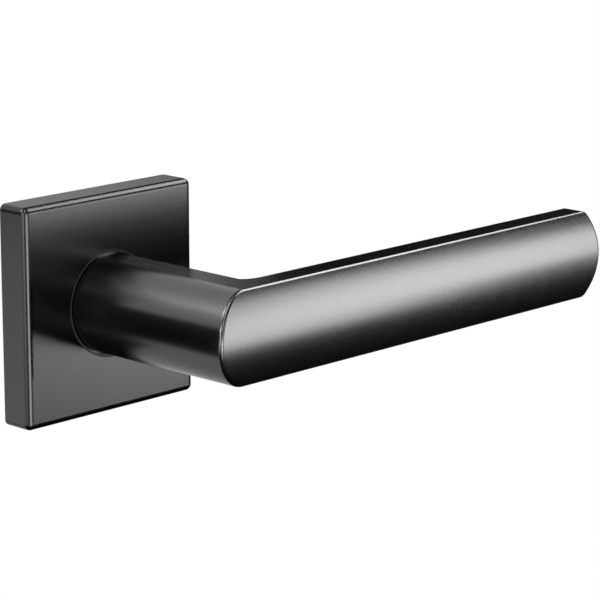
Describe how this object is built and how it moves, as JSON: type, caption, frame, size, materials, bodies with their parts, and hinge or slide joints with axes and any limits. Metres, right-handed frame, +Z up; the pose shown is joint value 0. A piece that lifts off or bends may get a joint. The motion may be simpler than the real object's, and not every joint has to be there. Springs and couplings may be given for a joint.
{
  "type": "door lever handle",
  "caption": "Door lever handle with a round neck, a flat crowned grip and a square clip-on rose, sprung to return to level.",
  "frame": {"origin": "on the spindle axis at the door face", "axes": "+Z up, +X along the grip, the handle stands out along -Y and the door is on the +Y side"},
  "size_m": [0.142, 0.0725, 0.05],
  "materials": {
    "black_lever": "satin black coating on the cast lever, fine brushed grain",
    "black_rose": "satin black coating on the pressed cover, faint brushing",
    "black_nylon": "black moulded nylon",
    "white_nylon": "natural acetal",
    "zinc_casting": "die cast plate, as cast",
    "zinc_plated": "zinc plated steel",
    "spring_steel": "oil hardened spring steel",
    "bright_steel": "bright drawn steel",
    "black_oxide": "black oxide steel",
    "buffer_rubber": "black rubber"
  },
  "bodies": {
    "rose": {"base_plate": "zinc_casting", "cassette_lid": "zinc_plated", "lid_screws": "zinc_plated", "bearing_bush": "white_nylon", "threaded_sleeves": "zinc_plated", "return_spring": "spring_steel", "spring_post": "bright_steel", "stop_buffer_rest": "buffer_rubber", "stop_buffer_full": "buffer_rubber", "cover_clip_left": "spring_steel", "cover_clip_right": "spring_steel", "clip_rivets": "bright_steel"},
    "cover": {"rose_cover": "black_rose", "cover_ring": "black_nylon"},
    "lever": {"lever": "black_lever", "thrust_washer": "white_nylon", "drive_rotor": "zinc_plated", "disc_spring": "spring_steel", "retaining_ring": "black_oxide", "spindle": "bright_steel", "grub_screw": "black_oxide"}
  },
  "joints": [
    {"name": "lever_turn", "type": "hinge", "parent": "rose", "child": "lever", "pos_m": [0, 0, 0], "axis": [0, 1, 0], "range_deg": [0, 40], "stiffness_Nm_per_rad": 0.5, "springref_deg": -34.38, "deforming": ["return_spring"]},
    {"name": "cover_slide", "type": "slide", "parent": "rose", "child": "cover", "axis": [0, -1, 0], "range_m": [0, 0.03]}
  ]
}
